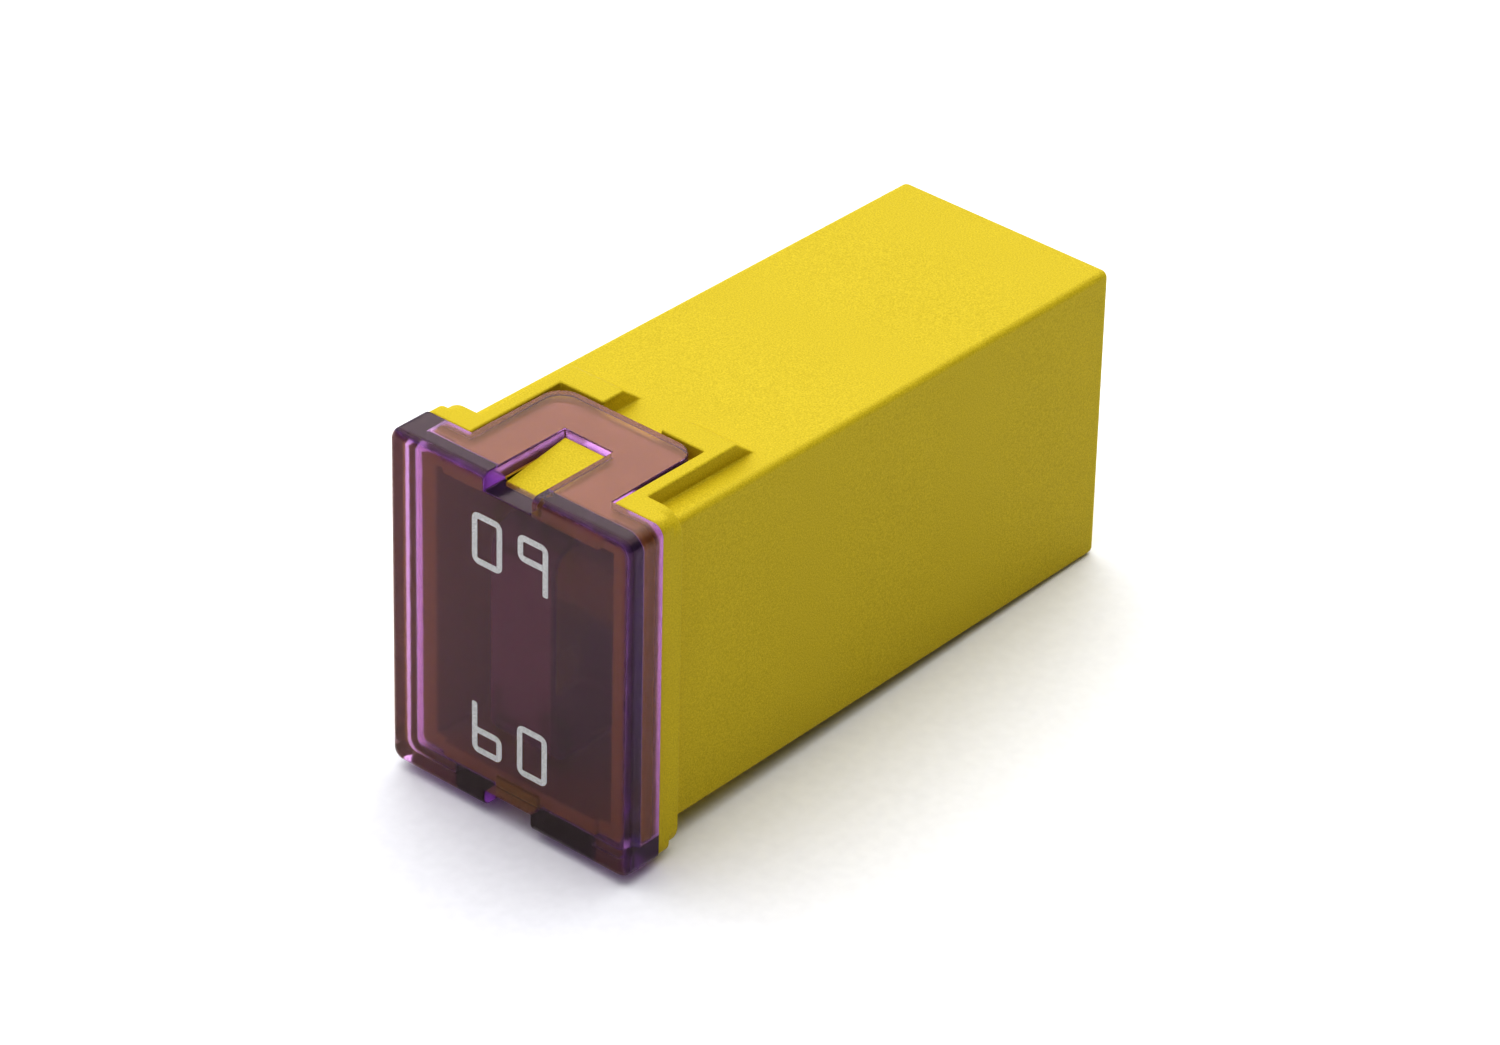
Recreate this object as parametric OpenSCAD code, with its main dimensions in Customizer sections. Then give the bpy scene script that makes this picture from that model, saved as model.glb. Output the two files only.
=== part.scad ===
/* [Overall] */
// Length from the window's front face to the tail
overall_l = 29.1; // [27:0.1:36]
// Height over the cover and its two legs
overall_h = 15; // [14.4:0.1:18]

/* [Window cover] */
// Width of the cover
cover_w = 12.3; // [11.8:0.1:15]
// Depth of the cover at its skirt, from the front face
cover_d = 1.85; // [1.6:0.05:2.4]
// Thickness of the clear window
window_t = 1; // [0.7:0.05:1.2]
// Thickness of the skirt at the sides
skirt_t = 0.8; // [0.6:0.02:1]
// Rounding of the cover's front edges
edge_r = 0.38; // [0.2:0.02:0.5]
// Rounding of the cover's four corners, seen from the front
corner_r = 0.5; // [0.4:0.05:0.9]

/* [Cover legs] */
// Width of a leg
leg_w = 7.1; // [6:0.1:7.6]
// Thickness of a leg
leg_t = 0.69; // [0.5:0.01:0.9]
// Distance from the front face to a leg's tip
leg_reach = 6.72; // [6.2:0.02:9]
// Rounding of a leg's two tip corners
leg_r = 1; // [0.5:0.1:1.6]
// Width of the hole that takes the catch
catch_hole_w = 2.4; // [2:0.1:3]
// Bar of material between the catch hole and the leg's tip
leg_bar = 2.25; // [1.6:0.05:2.6]

/* [Housing] */
// Setback of the housing's sides from the cover's sides
side_setback = 0.7; // [0.5:0.02:0.9]
// Draft of each outer wall over the housing's length
draft = 0.16; // [0:0.02:0.4]
// Rounding of the housing's long edges
housing_r = 0.3; // [0.2:0.05:0.6]
// Setback of the flange from the cover's sides
flange_setback = 0.1; // [0:0.05:0.3]
// Thickness of the flange
flange_t = 1.2; // [0.9:0.05:1.6]
// Thickness of the flange's front lip, which has the sharper corners
lip_t = 0.65; // [0.4:0.05:0.8]
// Rounding of the flange's corners behind the lip
flange_r = 1; // [0.6:0.05:1.4]
// Space between the window and the rim of the chamber behind it
rim_gap = 0.5; // [0.2:0.05:0.7]
// Wall beside the window chamber
chamber_side_wall = 0.8; // [0.5:0.05:1]
// Wall above and below the window chamber
chamber_top_wall = 0.7; // [0.6:0.05:1]
// Depth of the window chamber behind its rim
chamber_d = 4.6; // [4:0.1:7]
// Thickness of the tail wall
tail_wall = 1.3; // [0.8:0.1:1.8]
// Lip of the tail wall that stops a terminal, on each side of its opening
stop_lip = 0.45; // [0.3:0.05:0.6]

/* [Leg frame and catch] */
// Width over the two rails beside a leg
frame_w = 8.5; // [8.2:0.1:10]
// Wall of the frame behind a leg's tip
frame_wall = 1.15; // [0.7:0.05:1.6]
// Run of the slope at the frame's rear
frame_slope = 1.2; // [0.6:0.1:2]
// Gap in the middle of the frame's rear wall
frame_gap_w = 2.9; // [1.5:0.1:4]
// Height of the catch at its rear edge
catch_h = 0.5; // [0.3:0.05:0.65]
// Thickness of the tongue that carries the catch up to the window
tongue_t = 0.45; // [0.3:0.05:0.6]

/* [Fuse element] */
// Thickness of the stamped strip
strip_t = 0.6; // [0.4:0.05:0.8]
// Width of the link across the window
link_w = 3.1; // [1.6:0.1:4.4]
// Thickness of the link
link_t = 0.35; // [0.25:0.05:0.4]
// Space between the window and the link
link_gap = 0.35; // [0.2:0.05:1]
// Bend of the strip where it turns into the link, on the inner side
link_bend_r = 0.8; // [0.4:0.1:1.4]
// Distance between the middles of the two terminals
terminal_pitch = 6.4; // [6:0.1:6.7]
// Width of a terminal
terminal_w = 7; // [6:0.1:7.4]
// Height of a terminal
terminal_h = 3.3; // [2.9:0.1:3.6]
// Length of a terminal
terminal_l = 12.5; // [11:0.1:14]
// Length over which the strip widens from the link to a terminal
shoulder_l = 2.4; // [1.5:0.1:3.5]
// Width of the lips folded inwards over a terminal's open side
fold_w = 1.1; // [0.6:0.1:1.6]

/* [Contact springs] */
// Thickness of the spring's sheet
spring_t = 0.25; // [0.15:0.01:0.3]
// Length of the spring's sleeve
spring_l = 8.4; // [7:0.1:10]
// Distance from a terminal's rear end to its sleeve
spring_setback = 1.2; // [0.4:0.1:2]
// Width of the leaf inside the sleeve
leaf_w = 3.6; // [2.4:0.1:4]
// Space that the leaf leaves for a blade
blade_gap = 0.65; // [0.5:0.05:0.9]

/* [Tin pellet] */
// Radius of the pellet's head
pellet_r = 0.9; // [0.6:0.05:1.3]
// Height of the pellet's head
pellet_h = 0.5; // [0.3:0.05:0.8]
// Radius of the pellet's shank, which sits in a pocket in the link's back
shank_r = 0.5; // [0.3:0.05:0.55]

/* [Fits] */
// Clearance between the cover and the housing
fit_clear = 0.06; // [0.02:0.01:0.1]
// Clearance of a leg in its frame and of the catch in its hole
leg_clear = 0.1; // [0.05:0.01:0.2]
// Clearance of a terminal with its spring in the housing
slip = 0.1; // [0.05:0.01:0.15]
// Clearance of a spring on its terminal and of the pellet in the link
snug = 0.02; // [0.01:0.01:0.05]

/* [Hidden] */
$fn = 48;
hull_fn = 32;
over = 0.2;                  // how far a cut or a root runs past its face
fillet_steps = 8;

mid_z = overall_h / 2;
housing_w = cover_w - 2 * side_setback;
neck_w = cover_w - 2 * (skirt_t + fit_clear);   // housing's part inside the cover
housing_h = overall_h - 2 * (leg_t + fit_clear);
flange_w = cover_w - 2 * flange_setback;
tongue_y = window_t + fit_clear;
rim_y = window_t + rim_gap;
flange_y = cover_d + fit_clear / 2;
flange_end = flange_y + flange_t;
leg_slot_w = leg_w + 2 * leg_clear;
catch_w = catch_hole_w - 2 * leg_clear;
hole_end = leg_reach - leg_bar;
catch_end = hole_end - leg_clear;
pocket_end = leg_reach + 1.5 * leg_clear;
frame_end = pocket_end + frame_wall;
skin_z = housing_h / 2;      // housing's outer face, from the middle
leg_z = skin_z + fit_clear;  // underside of a leg, from the middle

window_chamber_w = neck_w - 2 * chamber_side_wall;
window_chamber_h = housing_h - 2 * chamber_top_wall;
step_y = rim_y + chamber_d;
tunnel_w = terminal_w + 2 * (spring_t + snug + slip);
tunnel_h = terminal_h + 2 * (spring_t + snug + slip);
tail_y = overall_l - tail_wall;
opening_w = terminal_w - 2 * stop_lip;
opening_h = terminal_h - 2 * stop_lip + spring_t;

link_y = window_t + link_gap;
pellet_y = link_y + link_t / 2;                  // bottom of the pellet's pocket, halfway through the link
terminal_end = tail_y - slip;
terminal_y = terminal_end - terminal_l;
floor_z = terminal_pitch / 2 + terminal_h / 2;   // a terminal's outer face, from the middle
shoulder_y = step_y + slip;
sleeve_y = terminal_end - spring_setback - spring_l;
sleeve_w = terminal_w + 2 * (spring_t + snug);
sleeve_h = terminal_h + 2 * (spring_t + snug);
leaf_chord = spring_l * 0.8;
leaf_rise = terminal_h + snug - strip_t - blade_gap;
leaf_r = (leaf_chord * leaf_chord / 4 + leaf_rise * leaf_rise) / (2 * leaf_rise);

// Outline in X and Z, carried along Y from y0 to y1
module along(y0, y1) {
    translate([0, y1, 0]) rotate([90, 0, 0]) linear_extrude(y1 - y0) children();
}

// Outline in Y and Z, carried across X over the width w
module across(w) {
    translate([-w / 2, 0, 0]) rotate([90, 0, 90]) linear_extrude(w) children();
}

// Puts what is drawn around the middle line, from the front face on, into the part's frame
module in_place() {
    translate([0, -overall_l / 2, mid_z]) children();
}

// The same thing above and below the middle
module both_sides() {
    children();
    rotate([0, 180, 0]) children();
}

module round_rect(w, h, r) {
    square([w - 2 * r, h], center = true);
    square([w, h - 2 * r], center = true);
    for (x = [-1, 1], z = [-1, 1]) translate([x * (w / 2 - r), z * (h / 2 - r)]) circle(r);
}

// Long box whose walls come in by the draft from the head to the tail, with its neck inside the cover
module drafted_body() {
    hull() {
        along(flange_y, flange_y + 0.01) round_rect(housing_w, housing_h, housing_r, $fn = hull_fn);
        along(overall_l - 0.01, overall_l)
            round_rect(housing_w - 2 * draft, housing_h - 2 * draft, housing_r, $fn = hull_fn);
    }
    along(rim_y, flange_y + over) round_rect(neck_w, housing_h, housing_r);
}

module flange() {
    along(flange_y, flange_y + lip_t) round_rect(flange_w, overall_h, corner_r);
    along(flange_y, flange_end) round_rect(flange_w, overall_h, flange_r);
}

// Slot that lets a leg pass the flange
module leg_slot() {
    translate([-leg_slot_w / 2, flange_y - over, skin_z]) cube([leg_slot_w, flange_t + 2 * over, overall_h]);
}

// Raised frame that the leg's tip lies in, open in the middle of its rear wall
module leg_frame() {
    difference() {
        across(frame_w) polygon([
            [flange_end - over, skin_z - over], [flange_end - over, mid_z], [frame_end, mid_z],
            [frame_end + frame_slope, skin_z - draft], [frame_end + frame_slope, skin_z - draft - over]]);
        translate([-leg_slot_w / 2, 0, skin_z]) cube([leg_slot_w, pocket_end, overall_h]);
        translate([-frame_gap_w / 2, 0, skin_z - draft])
            cube([frame_gap_w, frame_end + frame_slope + over, overall_h]);
    }
}

// Wedge that the leg's hole clips over, on a tongue that reaches up to the window
module catch() {
    across(catch_w) polygon([
        [tongue_y, skin_z - tongue_t], [tongue_y, skin_z],
        [catch_end, skin_z + catch_h], [catch_end, skin_z - tongue_t]]);
}

// Tunnel of one terminal, with the smaller opening for the blade in the tail wall
module tunnel() {
    translate([-tunnel_w / 2, step_y - over, terminal_pitch / 2 - tunnel_h / 2])
        cube([tunnel_w, tail_y - step_y + over, tunnel_h]);
    translate([-opening_w / 2, tail_y - over, terminal_pitch / 2 - opening_h / 2])
        cube([opening_w, tail_wall + 2 * over, opening_h]);
}

module housing() {
    color([0.9, 0.78, 0.12]) in_place() difference() {
        union() {
            drafted_body();
            difference() {
                flange();
                both_sides() leg_slot();
            }
            both_sides() {
                leg_frame();
                catch();
            }
        }
        translate([-window_chamber_w / 2, rim_y - over, -window_chamber_h / 2])
            cube([window_chamber_w, chamber_d + over, window_chamber_h]);
        both_sides() tunnel();
    }
}

// Solid cap with the rounding of its front edges, made of outlines that shrink along a quarter circle
module cover_block() {
    hull() {
        along(edge_r, cover_d) round_rect(cover_w, overall_h, corner_r, $fn = hull_fn);
        for (i = [0 : fillet_steps - 1]) {
            a = 90 * i / fillet_steps;
            inset = edge_r * (1 - sin(a));
            along(edge_r * (1 - cos(a)), edge_r)
                round_rect(cover_w - 2 * inset, overall_h - 2 * inset, corner_r - inset / 2, $fn = hull_fn);
        }
    }
}

module leg() {
    translate([0, 0, leg_z]) linear_extrude(leg_t) {
        translate([-leg_w / 2, window_t]) square([leg_w, leg_reach - leg_r - window_t]);
        translate([-leg_w / 2 + leg_r, window_t]) square([leg_w - 2 * leg_r, leg_reach - window_t]);
        for (x = [-1, 1]) translate([x * (leg_w / 2 - leg_r), leg_reach - leg_r]) circle(leg_r);
    }
}

// Hole for the catch, open through the window's edge
module catch_hole() {
    translate([-catch_hole_w / 2, -over, skin_z]) cube([catch_hole_w, hole_end + over, overall_h]);
}

module cover() {
    color([0.45, 0.2, 0.55, 0.55]) in_place() difference() {
        union() {
            difference() {
                cover_block();
                along(window_t, cover_d + over)
                    round_rect(neck_w + 2 * fit_clear, housing_h + 2 * fit_clear, housing_r);
            }
            both_sides() leg();
        }
        both_sides() catch_hole();
    }
}

// Half of the strip's run in Y and Z: along the terminal's floor, round the bend and down to the middle
module link_run() {
    bend = link_bend_r + link_t;
    difference() {
        translate([link_y + bend, floor_z - bend]) circle(bend);
        translate([link_y + bend, floor_z - bend]) circle(link_bend_r);
        translate([link_y + bend, floor_z - 2 * bend - over]) square([bend + over, 2 * bend + 2 * over]);
        translate([link_y - over, floor_z - 2 * bend - over]) square([2 * bend, bend + over]);
    }
    translate([link_y, 0]) square([link_t, floor_z - bend]);
    translate([link_y + bend, floor_z - link_t]) square([shoulder_y - link_y - bend + over, link_t]);
}

// Channel that holds a blade: a floor on the outer side, two walls and lips folded in over the open side
module terminal() {
    inner_z = floor_z - terminal_h;
    translate([0, 0, floor_z - strip_t]) linear_extrude(strip_t) polygon([
        [-link_w / 2, shoulder_y], [link_w / 2, shoulder_y], [terminal_w / 2, shoulder_y + shoulder_l],
        [terminal_w / 2, terminal_end], [-terminal_w / 2, terminal_end], [-terminal_w / 2, shoulder_y + shoulder_l]]);
    for (x = [-terminal_w / 2, terminal_w / 2 - strip_t])
        translate([x, terminal_y, inner_z]) cube([strip_t, terminal_l, terminal_h]);
    for (x = [-terminal_w / 2, terminal_w / 2 - fold_w])
        translate([x, terminal_y, inner_z]) cube([fold_w, terminal_l, link_t]);
}

module fuse_element() {
    color([0.76, 0.6, 0.44]) in_place() difference() {
        both_sides() {
            across(link_w) link_run();
            terminal();
        }
        along(pellet_y, link_y + link_t + over) circle(shank_r + snug);
    }
}

module tin_pellet() {
    color([0.78, 0.79, 0.8]) in_place() {
        along(pellet_y + snug, link_y + link_t + snug) circle(shank_r);
        along(link_y + link_t + snug, link_y + link_t + snug + pellet_h) circle(pellet_r);
    }
}

// Sleeve round a terminal with a bowed leaf inside that presses a blade on the terminal's floor
module contact_spring() {
    translate([0, 0, terminal_pitch / 2]) {
        difference() {
            along(sleeve_y, sleeve_y + spring_l) square([sleeve_w, sleeve_h], center = true);
            along(sleeve_y - over, sleeve_y + spring_l + over)
                square([sleeve_w - 2 * spring_t, sleeve_h - 2 * spring_t], center = true);
        }
        across(leaf_w) translate([sleeve_y + spring_l / 2, -sleeve_h / 2 + spring_t]) intersection() {
            translate([0, leaf_rise - leaf_r]) difference() {
                circle(leaf_r);
                circle(leaf_r - spring_t);
            }
            translate([-spring_l / 2, -spring_t / 2]) square([spring_l, leaf_rise + spring_t]);
        }
    }
}

module contact_spring_upper() {
    color([0.72, 0.73, 0.75]) in_place() contact_spring();
}

module contact_spring_lower() {
    color([0.72, 0.73, 0.75]) in_place() rotate([0, 180, 0]) contact_spring();
}

housing();
cover();
fuse_element();
tin_pellet();
contact_spring_upper();
contact_spring_lower();
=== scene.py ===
import math

import bmesh
import bpy
import numpy as np
from mathutils import Matrix, Vector


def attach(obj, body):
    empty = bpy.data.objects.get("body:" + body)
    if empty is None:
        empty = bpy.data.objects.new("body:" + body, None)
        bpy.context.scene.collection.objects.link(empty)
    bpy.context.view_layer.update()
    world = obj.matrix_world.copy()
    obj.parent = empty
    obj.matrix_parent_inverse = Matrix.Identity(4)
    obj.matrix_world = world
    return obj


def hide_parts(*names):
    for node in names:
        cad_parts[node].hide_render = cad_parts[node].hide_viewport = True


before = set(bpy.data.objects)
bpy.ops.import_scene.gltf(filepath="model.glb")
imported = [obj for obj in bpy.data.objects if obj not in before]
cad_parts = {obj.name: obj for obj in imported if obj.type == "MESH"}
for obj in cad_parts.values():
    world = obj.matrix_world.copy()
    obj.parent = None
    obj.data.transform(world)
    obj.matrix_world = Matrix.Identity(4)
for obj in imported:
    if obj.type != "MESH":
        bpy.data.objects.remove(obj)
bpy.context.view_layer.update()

# ---------------------------------------------------------------------------------------------
# Housing: one injection moulding in yellow glass-filled nylon. The outside has draft towards the
# tail, a flange behind the cover, and a frame and a catch for each leg of the cover. Inside are
# the chamber behind the window and one tunnel for each terminal.
# ---------------------------------------------------------------------------------------------
MM = 0.001
LENGTH, HEIGHT = 29.1, 15.0
TOP = HEIGHT / 2                       # half heights are from the middle line
BODY_W, BODY_H, BODY_R = 10.9, 13.5, 0.3
DRAFT = 0.16
NECK_W, RIM_Y, RIM_STEP = 10.58, 1.5, 0.22
FLANGE_W, FLANGE_Y, LIP_END, FLANGE_END = 12.1, 1.88, 2.53, 3.08
SKIN = BODY_H / 2
SLOT_W, POCKET_END = 7.3, 6.87
RAIL_OUT, FRAME_END, FRAME_FOOT, GAP_W = 4.25, 8.02, 9.22, 2.9
CATCH_W, CATCH_Y, CATCH_END, CATCH_H = 2.2, 1.06, 4.37, 0.5
CHAMBER_W, CHAMBER_H, STEP_Y = 8.98, 12.1, 6.1
PITCH = 6.4
TUNNEL_W, TUNNEL_H, TAIL_Y = 7.74, 4.04, 27.8
SOCKET_W, SOCKET_H = 6.1, 2.65


def to_frame(points):
    """Millimetres from the middle of the window's face, to metres in the part's frame."""
    return (np.asarray(points, float) + (0, -LENGTH / 2, TOP)) * MM


def outline(w, h, r, steps=8):
    """Rounded rectangle in X and Z: a quarter circle of radius r about each corner's middle, in order round it."""
    turn = np.radians(np.linspace(0, 90, steps + 1))
    arcs = [np.stack([sx * (w / 2 - r) + r * np.cos(turn + start), sz * (h / 2 - r) + r * np.sin(turn + start)], 1)
            for sx, sz, start in ((1, 1, 0), (-1, 1, np.pi / 2), (-1, -1, np.pi), (1, -1, 3 * np.pi / 2))]
    return np.concatenate(arcs)


def shell(rings):
    """Closed skin over rings of equal length: quads between neighbours, and one face over each end.
    Rings run clockwise as seen from the end that the stack goes to, which turns the faces outwards."""
    rings = np.asarray(rings, float)
    count, size = rings.shape[:2]
    at = np.arange(count * size).reshape(count, size)
    near, far = at[:-1], at[1:]
    quads = np.stack([near, far, np.roll(far, -1, 1), np.roll(near, -1, 1)], -1).reshape(-1, 4)
    return rings.reshape(-1, 3), quads.tolist() + [at[0].tolist(), at[-1][::-1].tolist()]


def loft(y, w, h, r, steps=8):
    """Rounded rectangles w by h with corners r, one at each y: S(turn, y) = outline(w(y), h(y), r(y))."""
    rings = []
    for yi, wi, hi, ri in zip(*np.broadcast_arrays(y, w, h, r)):
        ring = outline(wi, hi, ri, steps)
        rings.append(np.stack([ring[:, 0], np.full(len(ring), yi), ring[:, 1]], 1))
    return shell(rings)


def quarter(ease, steps=6):
    """A rounded end edge: at angle t the outline is in by ease * (1 - sin t) and on by ease * (1 - cos t)."""
    t = np.radians(np.linspace(0, 90, steps + 1))
    return ease * (1 - np.sin(t)), ease * (1 - np.cos(t))


def across(profile, x0, x1):
    """Profile in Y and Z carried along X from x0 to x1. Its corners may run either way round."""
    y, z = np.asarray(profile, float).T
    turn = 1 if np.sum(y * np.roll(z, -1) - np.roll(y, -1) * z) > 0 else -1
    return shell([np.stack([np.full(len(y), x), y[::turn], z[::turn]], 1) for x in (x1, x0)])


def block(x0, x1, y0, y1, z0, z1):
    return across([(y0, z0), (y1, z0), (y1, z1), (y0, z1)], x0, x1)


def turned(part):
    """The same part on the other side: half a turn about the middle line, (x, y, z) to (-x, y, -z)."""
    points, faces = part
    return points * (-1, 1, -1), faces


def both(*parts):
    return [p for part in parts for p in (part, turned(part))]


def new_object(name, parts):
    """One mesh object of all the parts, in the part's frame."""
    points, faces, start = [], [], 0
    for p, f in parts:
        points.append(to_frame(p))
        faces += [[i + start for i in face] for face in f]
        start += len(p)
    mesh = bpy.data.meshes.new(name)
    mesh.from_pydata(np.concatenate(points), [], faces)
    obj = bpy.data.objects.new(name, mesh)
    bpy.context.scene.collection.objects.link(obj)
    return obj


def carved(name, solid, steps, ease, crisp=None):
    """The solid with each step's parts added or cut away, and its sharp edges rounded to the radius ease."""
    obj = new_object(name, solid)
    tools = []
    for operation, parts in steps:
        tool = new_object("tool", parts)
        tools.append(tool)
        cut = obj.modifiers.new(operation, "BOOLEAN")
        cut.operation, cut.solver, cut.use_self, cut.object = operation, "EXACT", True, tool
    graph = bpy.context.evaluated_depsgraph_get()
    mesh = bpy.data.meshes.new_from_object(obj.evaluated_get(graph))
    obj.modifiers.clear()
    obj.data = mesh
    for tool in tools:
        bpy.data.objects.remove(tool)
    round_edges(obj, ease, crisp)
    return obj


def round_edges(obj, ease, crisp=None, near=0.004, sharp=32):
    """Merges points nearer than near, takes out edges inside flat faces, and rounds each edge that turns by
    more than sharp degrees, except where crisp, a test of the edge's middle in millimetres, says otherwise."""
    work = bmesh.new()
    work.from_mesh(obj.data)
    bmesh.ops.remove_doubles(work, verts=work.verts, dist=near * MM)
    bmesh.ops.dissolve_limit(work, angle_limit=math.radians(0.4), verts=work.verts, edges=work.edges)
    weight = work.edges.layers.float.new("bevel_weight_edge")
    for edge in work.edges:
        middle = (edge.verts[0].co + edge.verts[1].co) / 2 / MM
        turns = edge.calc_face_angle(0) > math.radians(sharp)
        stays = turns and crisp and crisp(middle.x, middle.y + LENGTH / 2, middle.z - TOP)
        edge[weight] = float(turns and not stays)
        edge.smooth = not stays
    work.to_mesh(obj.data)
    work.free()
    obj.data.polygons.foreach_set("use_smooth", [True] * len(obj.data.polygons))
    bevel = obj.modifiers.new("round", "BEVEL")
    bevel.limit_method, bevel.width, bevel.segments, bevel.use_clamp_overlap = "WEIGHT", ease * MM, 3, False
    obj.modifiers.new("flat faces", "WEIGHTED_NORMAL").keep_sharp = True


FOOT = SKIN - DRAFT - 0.2              # how deep what stands on the body is rooted in it
slope = [(FRAME_END, TOP), (FRAME_FOOT, SKIN - DRAFT), (FRAME_FOOT, FOOT)]
rail = [(FLANGE_END - 0.2, FOOT), (FLANGE_END - 0.2, TOP)] + slope
pad = [(POCKET_END, FOOT), (POCKET_END, TOP)] + slope
catch = across([(CATCH_Y, SKIN - 0.45), (CATCH_Y, SKIN), (CATCH_END, SKIN + CATCH_H), (CATCH_END, SKIN - 0.45)],
               -CATCH_W / 2, CATCH_W / 2)

inset, on = quarter(0.3)
body_y = np.concatenate([[FLANGE_Y, FLANGE_END], LENGTH - on[::-1]])
body_in = np.concatenate([[0, 0], DRAFT + inset[::-1]])
housing = carved(
    "housing_body",
    [loft(body_y, BODY_W - 2 * body_in, BODY_H - 2 * body_in, BODY_R - np.append([0, 0], inset[::-1] / 2)),
     loft([RIM_Y - RIM_STEP, FLANGE_Y + 0.3], NECK_W, BODY_H, BODY_R),
     loft([FLANGE_Y, LIP_END], FLANGE_W, HEIGHT, 0.5),
     loft([FLANGE_Y + 0.2, FLANGE_END], FLANGE_W, HEIGHT, 1.0),
     *both(across(rail, SLOT_W / 2, RAIL_OUT), across(rail, -RAIL_OUT, -SLOT_W / 2),
           across(pad, GAP_W / 2, RAIL_OUT), across(pad, -RAIL_OUT, -GAP_W / 2))],
    [("DIFFERENCE",
      [block(-CHAMBER_W / 2, CHAMBER_W / 2, RIM_Y - 0.5, STEP_Y, -CHAMBER_H / 2, CHAMBER_H / 2),
       *both(block(CHAMBER_W / 2 - 0.5, NECK_W / 2 + 1, RIM_Y - 1, RIM_Y, -TOP, TOP),
             block(-SLOT_W / 2, SLOT_W / 2, FLANGE_Y - 0.3, FLANGE_END + 0.5, SKIN, TOP + 1),
             block(-TUNNEL_W / 2, TUNNEL_W / 2, STEP_Y - 0.5, TAIL_Y, PITCH / 2 - TUNNEL_H / 2, PITCH / 2 + TUNNEL_H / 2),
             block(-SOCKET_W / 2, SOCKET_W / 2, TAIL_Y - 0.5, LENGTH + 1, PITCH / 2 - SOCKET_H / 2,
                   PITCH / 2 + SOCKET_H / 2))]),
     ("UNION", both(catch))],
    ease=0.1, crisp=lambda x, y, z: abs(x) > 4.9 and abs(z) > 6.3 and abs(y - LIP_END) < 0.1)
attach(housing, "root")
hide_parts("housing")


class Signal:
    """A node's output. Arithmetic on it adds Math nodes."""

    def __init__(self, finish, socket):
        self.finish, self.socket = finish, socket

    def math(self, operation, *others):
        return self.finish.node("ShaderNodeMath", {"operation": operation}, dict(enumerate((self,) + others)))

    def __add__(self, other): return self.math("ADD", other)
    def __mul__(self, other): return self.math("MULTIPLY", other)
    def __sub__(self, other): return self.math("SUBTRACT", other)
    def __rsub__(self, other): return self.finish.node("ShaderNodeMath", {"operation": "SUBTRACT"}, {0: other, 1: self})
    def __pow__(self, other): return self.math("POWER", other)
    __radd__, __rmul__ = __add__, __mul__


class Finish:
    """A material, made of nodes."""

    def __init__(self, name):
        self.material = bpy.data.materials.new(name)
        self.material.use_nodes = True
        self.tree = self.material.node_tree
        self.tree.nodes.clear()
        self.place = self.node("ShaderNodeTexCoord", output="Object")

    def node(self, kind, settings={}, sockets={}, output=0):
        """A node of that type: its settings first, then a value or a link for each socket that is named."""
        node = self.tree.nodes.new(kind)
        for name, value in settings.items():
            if name == "stops":
                while len(node.color_ramp.elements) < len(value):
                    node.color_ramp.elements.new(1)
                for element, (at, colour) in zip(node.color_ramp.elements, value):
                    element.position, element.color = at, (*colour, 1)
            else:
                setattr(node, name, value)
        for name, value in sockets.items():
            if isinstance(value, Signal):
                self.tree.links.new(value.socket, node.inputs[name])
            else:
                node.inputs[name].default_value = value
        return Signal(self, node.outputs[output])

    def noise(self, size, detail=2, roughness=0.5):
        """Noise from 0 to 1, whose spots are about size millimetres wide."""
        return self.node("ShaderNodeTexNoise", {}, {
            "Vector": self.place, "Scale": 1 / (size * MM), "Detail": detail, "Roughness": roughness}, "Fac")

    def ramp(self, fac, *stops):
        return self.node("ShaderNodeValToRGB", {"stops": stops}, {"Fac": fac}, "Color")

    def bump(self, height, depth, under=None):
        """Relief as high as depth millimetres where height goes from 0 to 1."""
        sockets = {"Height": height, "Distance": depth * MM, "Strength": 1.0}
        if under:
            sockets["Normal"] = under
        return self.node("ShaderNodeBump", {}, sockets, "Normal")

    def surface(self, volume=None, **sockets):
        shader = self.node("ShaderNodeBsdfPrincipled", {}, {k.replace("_", " "): v for k, v in sockets.items()})
        ends = {"Surface": shader}
        if volume:
            ends["Volume"] = volume
        self.node_out = self.tree.nodes.new("ShaderNodeOutputMaterial")
        for name, value in ends.items():
            self.tree.links.new(value.socket, self.node_out.inputs[name])
        return self.material


nylon = Finish("yellow_nylon")
flow = nylon.noise(6, 2)
grain = nylon.noise(0.06, 2, 0.7)
yellow = nylon.ramp(flow * 0.06 + grain * 0.94, (0.32, (0.48, 0.37, 0.009)), (0.68, (0.67, 0.535, 0.034)))
fine = nylon.bump(grain, 0.012, nylon.bump(nylon.noise(2.5, 1), 0.004))
housing.data.materials.clear()
housing.data.materials.append(nylon.surface(
    Base_Color=yellow, Roughness=0.5 + grain * 0.12, Normal=fine, IOR=1.5, Specular_IOR_Level=0.2))

# ---------------------------------------------------------------------------------------------
# Cover: one moulding in clear violet polycarbonate. A thick window with rounded front edges, a
# skirt over the housing's neck, and two legs whose holes clip over the catches.
# ---------------------------------------------------------------------------------------------
COVER_W, COVER_D, WINDOW_T, EDGE_R, CORNER_R = 12.3, 1.85, 1.25, 0.38, 0.5
CAVITY_W, CAVITY_H = 10.7, 13.62
LEG_W, LEG_UNDER, LEG_REACH, LEG_R = 7.1, 6.81, 6.72, 1.0
HOLE_W, HOLE_END = 2.4, 4.47


def upright(profile, z0, z1):
    """Profile in X and Y, anticlockwise as seen from above, carried along Z from z0 to z1."""
    return shell([np.insert(np.asarray(profile, float), 2, z, axis=1) for z in (z1, z0)])


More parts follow.
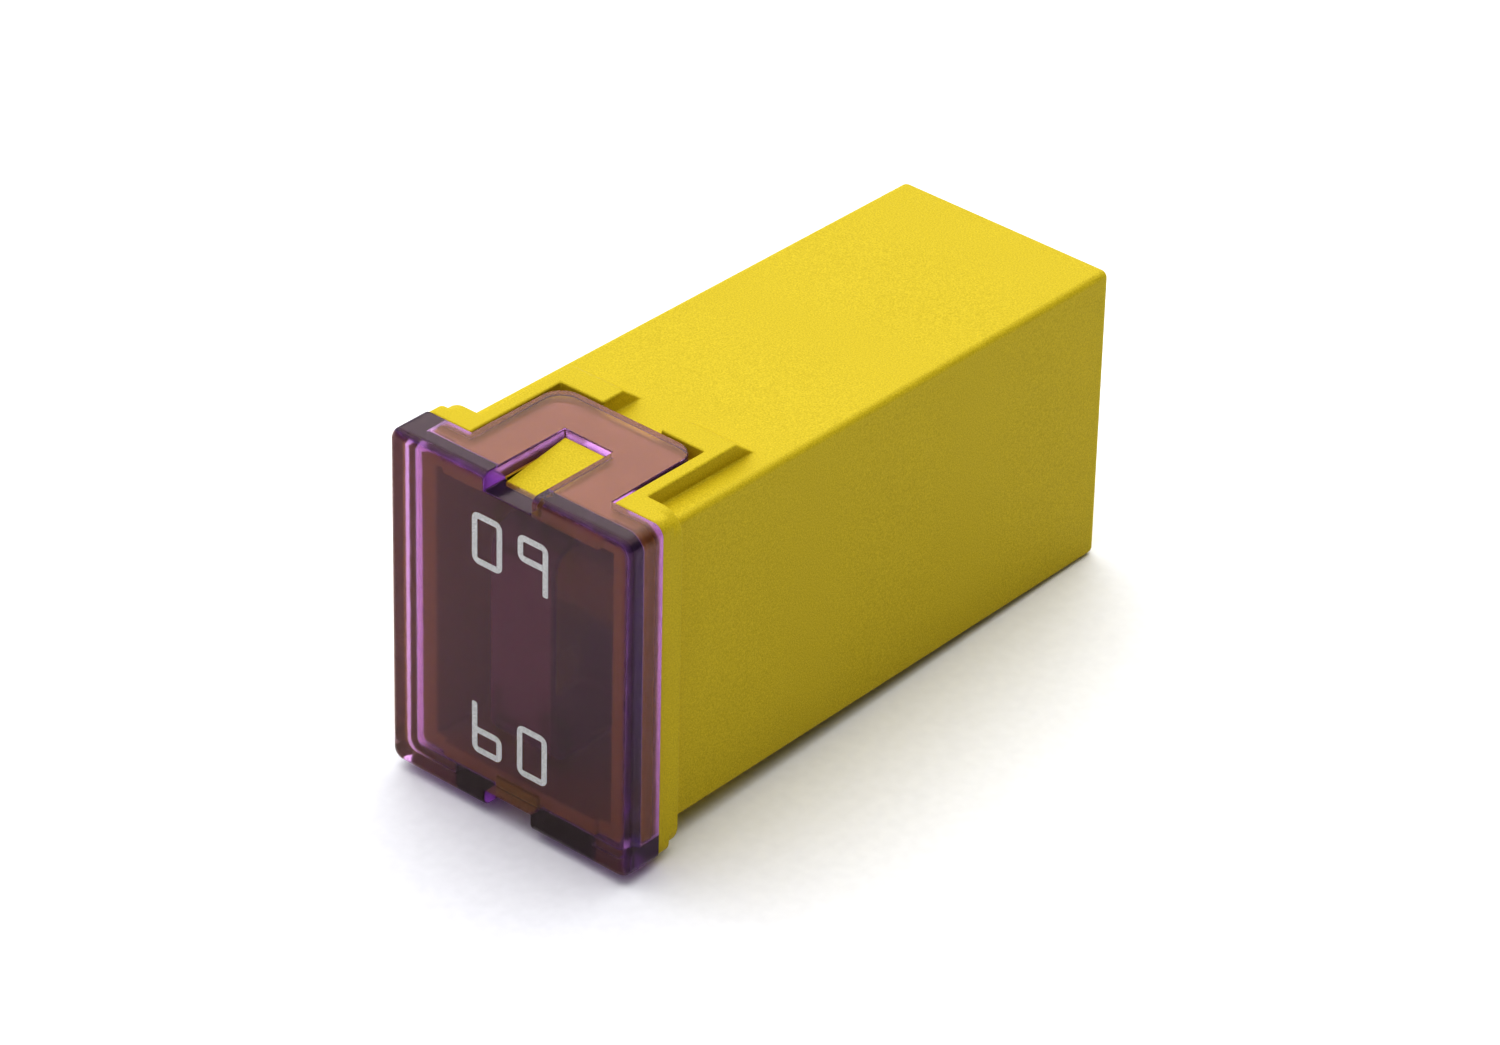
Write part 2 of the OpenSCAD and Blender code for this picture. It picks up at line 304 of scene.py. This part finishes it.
inset, on = quarter(EDGE_R, 12)
leg_turn = np.radians(np.linspace(0, 90, 13))
tip = np.stack([np.cos(leg_turn), np.sin(leg_turn)], 1) * LEG_R
tip_mid = np.array((LEG_W / 2 - LEG_R, LEG_REACH - LEG_R))
leg = np.concatenate([[(-LEG_W / 2, WINDOW_T - 0.1), (LEG_W / 2, WINDOW_T - 0.1)],
                      tip + tip_mid, tip[::-1] * (-1, 1) + tip_mid * (-1, 1)])
cover = carved(
    "window_cover",
    [loft(np.append(on, COVER_D), COVER_W - 2 * np.append(inset, 0), HEIGHT - 2 * np.append(inset, 0),
          CORNER_R - np.append(inset, 0) / 2, steps=12),
     *both(upright(leg, LEG_UNDER, TOP))],
    [("DIFFERENCE",
      [loft([WINDOW_T, COVER_D + 0.5], CAVITY_W, CAVITY_H, 0.3),
       *both(block(-HOLE_W / 2, HOLE_W / 2, -0.2, HOLE_END, SKIN, TOP + 1))])],
    ease=0.08, crisp=lambda x, y, z: abs(y - COVER_D) < 0.02)
violet = Finish("violet_polycarbonate")
tint = violet.node("ShaderNodeVolumeAbsorption", {}, {"Color": (0.79, 0.63, 0.885, 1), "Density": 1000.0})
cover.data.materials.clear()
cover.data.materials.append(violet.surface(
    volume=tint, Base_Color=(0.88, 0.69, 0.77, 1), Transmission_Weight=0.975, IOR=1.42, Specular_Tint=(1, 0.67, 0.54, 1),
    Roughness=0.13 + violet.noise(3, 2) * 0.06, Normal=violet.bump(violet.noise(0.8, 2), 0.012)))
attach(cover, "root")
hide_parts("cover")

# ---------------------------------------------------------------------------------------------
# Rating number: pale grey ink, pad printed on the window's face, once for each way up that the
# fuse can be read. Each figure is a thin stroke with rounded corners.
# ---------------------------------------------------------------------------------------------
STROKE, INK = 0.28, 0.012
FIGURE_W, FIGURE_H, SIX_H, FIGURE_R = 1.27, 2.0, 0.9, 0.2       # of the stroke's middle line
ZERO_X, SIX_X, FIGURE_Z = 1.16, -1.18, -4.27                    # from the middle of the print
PRINT_X, PRINT_Z = 0.155, 0.3                                   # middle of the print on the window


def ribbon(w, h, x, z):
    """Closed stroke along a rounded rectangle w by h round (x, z): half a stroke out and in from it, and
    an ink layer out of the face and into it."""
    rings = []
    for grow, y in ((1, -INK), (1, INK), (-1, INK), (-1, -INK)):
        ring = outline(w + grow * STROKE, h + grow * STROKE, FIGURE_R + grow * STROKE / 2)
        rings.append(np.stack([ring[:, 0] + x, np.full(len(ring), y), ring[:, 1] + z], 1))
    points, faces = shell(rings + rings[:1])
    count = 4 * len(ring)
    return points[:count], [[i % count for i in face] for face in faces[:count]]


foot = FIGURE_Z - FIGURE_H / 2
stem_x = SIX_X - FIGURE_W / 2
stem = loft([-INK, INK], STROKE, FIGURE_H + STROKE - 0.4, 0.08)
stem = stem[0] + (stem_x, 0, foot + 0.2 + FIGURE_H / 2), stem[1]
figures = [ribbon(FIGURE_W, FIGURE_H, ZERO_X, FIGURE_Z), ribbon(FIGURE_W, SIX_H, SIX_X, foot + SIX_H / 2), stem]
print_obj = carved(
    "rating_print", [(points + (PRINT_X, 0, PRINT_Z), faces) for points, faces in figures],
    [("UNION", [(points + (PRINT_X, 0, PRINT_Z), faces) for points, faces in map(turned, figures)])], ease=0.004)
ink = Finish("grey_ink")
speckle = ink.noise(0.06, 2)
print_obj.data.materials.clear()
print_obj.data.materials.append(ink.surface(
    Base_Color=ink.ramp(speckle, (0.3, (0.46, 0.46, 0.45)), (0.7, (0.7, 0.7, 0.69))), Roughness=0.6))
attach(print_obj, "root")

# ---------------------------------------------------------------------------------------------
# Fuse element: one strip of copper alloy, stamped and bent into two box terminals and the link
# across the window between them. Stamping leaves eased edges and rolling leaves fine lines. The
# link across the window is painted dark as shade, so the colour darkens towards the front, and the
# terminals keep the bright alloy.
# ---------------------------------------------------------------------------------------------


def eased_copy(node, name, ease):
    """The CAD node's own shape as one closed mesh, with its edges eased."""
    obj = bpy.data.objects.new(name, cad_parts[node].data.copy())
    bpy.context.scene.collection.objects.link(obj)
    round_edges(obj, ease, near=0.001)
    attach(obj, "root")
    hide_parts(node)
    return obj


element = eased_copy("fuse_element", "copper_strip", 0.05)
copper = Finish("copper_alloy")
tarnish = copper.noise(1.6, 4, 0.6)
rolled = copper.node("ShaderNodeTexNoise", {}, {
    "Vector": copper.node("ShaderNodeMapping", {}, {"Vector": copper.place, "Scale": (9000, 300, 9000)}),
    "Scale": 1.0, "Detail": 2.0}, "Fac")
# Painted shade: the strip's colour darkens from the tail towards the front, so the link behind the window is dark.
depth = copper.node("ShaderNodeSeparateXYZ", {}, {"Vector": copper.place}, "Y") * (1 / LENGTH / MM) + 0.5
element.data.materials.clear()
element.data.materials.append(copper.surface(
    Base_Color=copper.ramp(depth * 0.8 + tarnish * 0.2, (0.1, (0.19, 0.105, 0.055)), (0.25, (0.3, 0.175, 0.1)),
                           (0.6, (0.76, 0.56, 0.42))),
    Metallic=1.0, Roughness=0.42 + tarnish * 0.2 + rolled * 0.1 - depth * 0.1, Normal=copper.bump(rolled, 0.002)))

# ---------------------------------------------------------------------------------------------
# Tin pellet: a button of tin pressed into a pocket in the back of the link, with a rounded head.
# It melts into the copper under a long overload.
# ---------------------------------------------------------------------------------------------
pellet = eased_copy("tin_pellet", "tin_button", 0.12)
tin = Finish("dull_tin")
frost = tin.noise(0.25, 3)
pellet.data.materials.clear()
pellet.data.materials.append(tin.surface(
    Base_Color=tin.ramp(frost, (0.3, (0.52, 0.53, 0.54)), (0.7, (0.68, 0.69, 0.7))), Metallic=1.0,
    Roughness=0.35 + frost * 0.2, Normal=tin.bump(frost, 0.01)))

# ---------------------------------------------------------------------------------------------
# Contact springs: stainless sheet folded into a sleeve round each terminal, with a bowed leaf
# inside that presses the blade on the copper.
# ---------------------------------------------------------------------------------------------
steel = Finish("spring_steel")
brushed = steel.node("ShaderNodeTexNoise", {}, {
    "Vector": steel.node("ShaderNodeMapping", {}, {"Vector": steel.place, "Scale": (12000, 500, 12000)}),
    "Scale": 1.0, "Detail": 3.0}, "Fac")
steel_finish = steel.surface(
    Base_Color=steel.ramp(brushed, (0.3, (0.5, 0.5, 0.51)), (0.7, (0.62, 0.62, 0.64))), Metallic=1.0,
    Roughness=0.25 + brushed * 0.15, Normal=steel.bump(brushed, 0.001))
for side in ("upper", "lower"):
    spring = eased_copy("contact_spring_" + side, "spring_" + side, 0.04)
    spring.data.materials.clear()
    spring.data.materials.append(steel_finish)

# ---------------------------------------------------------------------------------------------
# Floor: pale and plain. The fuse lies on the lower leg frame's rear edge and on the tail's lower
# edge, so the floor is tilted in the part's frame.
# ---------------------------------------------------------------------------------------------
TAIL_UNDER = TOP - (SKIN - DRAFT)
TILT = math.atan2(TAIL_UNDER, LENGTH - FRAME_END)
REACH = 3.0
bpy.ops.mesh.primitive_plane_add(size=REACH, location=(0, 0, 0))
floor = bpy.context.object
floor.name = "floor"
floor.data.transform(Matrix.Translation((0, (FRAME_END - LENGTH / 2) * MM, -0.00002)) @ Matrix.Rotation(TILT, 4, "X"))
paper = Finish("white_paper")
floor.data.materials.append(paper.surface(
    Base_Color=paper.ramp(paper.noise(0.5, 3), (0.3, (0.88, 0.885, 0.915)), (0.7, (0.91, 0.915, 0.945))), Roughness=0.8))

# ---------------------------------------------------------------------------------------------
# Light and camera: a wide soft box above and to the left, and a soft fill from above that fades
# out towards the right and the floor. The camera is at the photograph's angle, fitted to the
# fuse's straight edges.
# ---------------------------------------------------------------------------------------------


class Sky(Finish):
    """The light from all round the studio, made of nodes."""

    def __init__(self, name):
        self.world = bpy.data.worlds.new(name)
        self.world.use_nodes = True
        self.tree = self.world.node_tree


sky = Sky("studio")
lean = sky.node("ShaderNodeVectorMath", {"operation": "DOT_PRODUCT"}, {
    0: sky.node("ShaderNodeTexCoord", output="Generated"), 1: (-0.34, 0.0, 0.94)}, "Value")
fill = sky.node("ShaderNodeMapRange", {}, {
    "Value": lean, "From Min": 0.1, "From Max": 0.9, "To Min": 0.0, "To Max": 0.84})
white = sky.tree.nodes["Background"]
white.inputs["Color"].default_value = (1, 1, 1, 1)
sky.tree.links.new(fill.socket, white.inputs["Strength"])
bpy.context.scene.world = sky.world


def soft_box(name, place, size, power):
    light = bpy.data.lights.new(name, "AREA")
    light.shape, light.size, light.energy = "SQUARE", size, power
    obj = bpy.data.objects.new(name, light)
    bpy.context.scene.collection.objects.link(obj)
    obj.location = place
    obj.rotation_euler = Vector(place).to_track_quat("Z", "Y").to_euler()


soft_box("key", (-0.24, 0.24, 0.8), 1.65, 8.4)

FOCUS, SENSOR, PHOTO_W = 6596.32, 36.0, 1500
right = np.array((0.749309, 0.661913, 0.020171))
up = np.array((-0.365979, 0.388531, 0.845637))
camera = bpy.data.cameras.new("camera")
camera.sensor_width, camera.sensor_fit, camera.lens = SENSOR, "HORIZONTAL", FOCUS * SENSOR / PHOTO_W
camera.clip_start, camera.clip_end = 0.01, 20
shot = bpy.data.objects.new("camera", camera)
bpy.context.scene.collection.objects.link(shot)
turn = Matrix(np.stack([right, up, np.cross(right, up)], 1).tolist()).to_4x4()
shot.matrix_world = Matrix.Translation(to_frame((141.885, -150.964, 144.166 - TOP))) @ turn
bpy.context.scene.camera = shot
bpy.context.scene.view_settings.view_transform = "Standard"
bpy.context.scene.view_settings.look = "High Contrast"
bpy.context.scene.cycles.max_bounces = bpy.context.scene.cycles.transmission_bounces = 32
